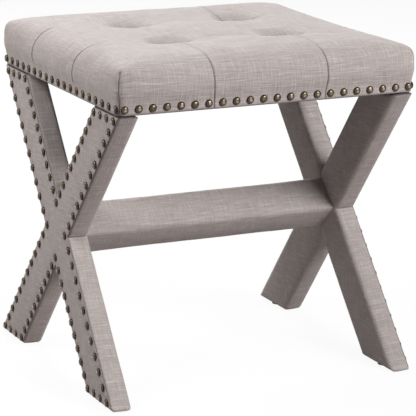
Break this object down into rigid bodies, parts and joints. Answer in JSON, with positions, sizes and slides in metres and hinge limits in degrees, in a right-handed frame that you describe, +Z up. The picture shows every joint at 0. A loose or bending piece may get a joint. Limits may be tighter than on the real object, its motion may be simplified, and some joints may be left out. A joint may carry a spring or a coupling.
{
  "type": "upholstered bench",
  "caption": "Small square linen bench with a blind-tufted box seat on upholstered crossed-leg frames, a diamond stretcher and rows of domed bronze nails.",
  "frame": {"origin": "middle of the footprint, on the floor under the bench", "axes": "+Z up, +X along the width to the right of the front, -Y towards the front"},
  "size_m": [0.4646, 0.424, 0.471],
  "materials": {
    "linen": "slubbed plain-weave linen, warm light grey",
    "wadding": "polyester wadding",
    "foam": "polyurethane foam, cut and shaped",
    "pine": "sawn softwood, unfinished",
    "plywood": "plywood sheet",
    "dust_cloth": "black non-woven cloth",
    "antique_bronze": "antiqued bronze, dark in the recesses",
    "zinc_steel": "zinc plated",
    "twine": "waxed tufting twine",
    "glide_plastic": "black nylon"
  },
  "bodies": {
    "root": {"seat_cover": "linen", "seat_foam": "foam", "seat_deck": "plywood", "front_rail": "pine", "back_rail": "pine", "left_rail": "pine", "right_rail": "pine", "front_left_block": "pine", "front_right_block": "pine", "back_left_block": "pine", "back_right_block": "pine", "dust_cover": "dust_cloth", "tuft_twines": "twine", "tuft_washers": "zinc_steel", "deck_screws": "zinc_steel", "leg_screws": "zinc_steel", "front_seat_nails": "antique_bronze", "back_seat_nails": "antique_bronze", "left_seat_nails": "antique_bronze", "right_seat_nails": "antique_bronze", "left_front_bar": "pine", "left_back_bar": "pine", "right_front_bar": "pine", "right_back_bar": "pine", "left_front_bar_wadding": "wadding", "left_back_bar_upper_wadding": "wadding", "left_back_bar_lower_wadding": "wadding", "right_front_bar_wadding": "wadding", "right_back_bar_upper_wadding": "wadding", "right_back_bar_lower_wadding": "wadding", "left_front_bar_cover": "linen", "left_back_bar_upper_cover": "linen", "left_back_bar_lower_cover": "linen", "right_front_bar_cover": "linen", "right_back_bar_upper_cover": "linen", "right_back_bar_lower_cover": "linen", "left_outer_panel": "linen", "right_outer_panel": "linen", "left_leg_nails": "antique_bronze", "right_leg_nails": "antique_bronze", "stretcher_core": "pine", "stretcher_wadding": "wadding", "stretcher_cover": "linen", "stretcher_bolts": "zinc_steel", "stretcher_dowels": "pine", "foot_glides": "glide_plastic"}
  },
  "joints": []
}
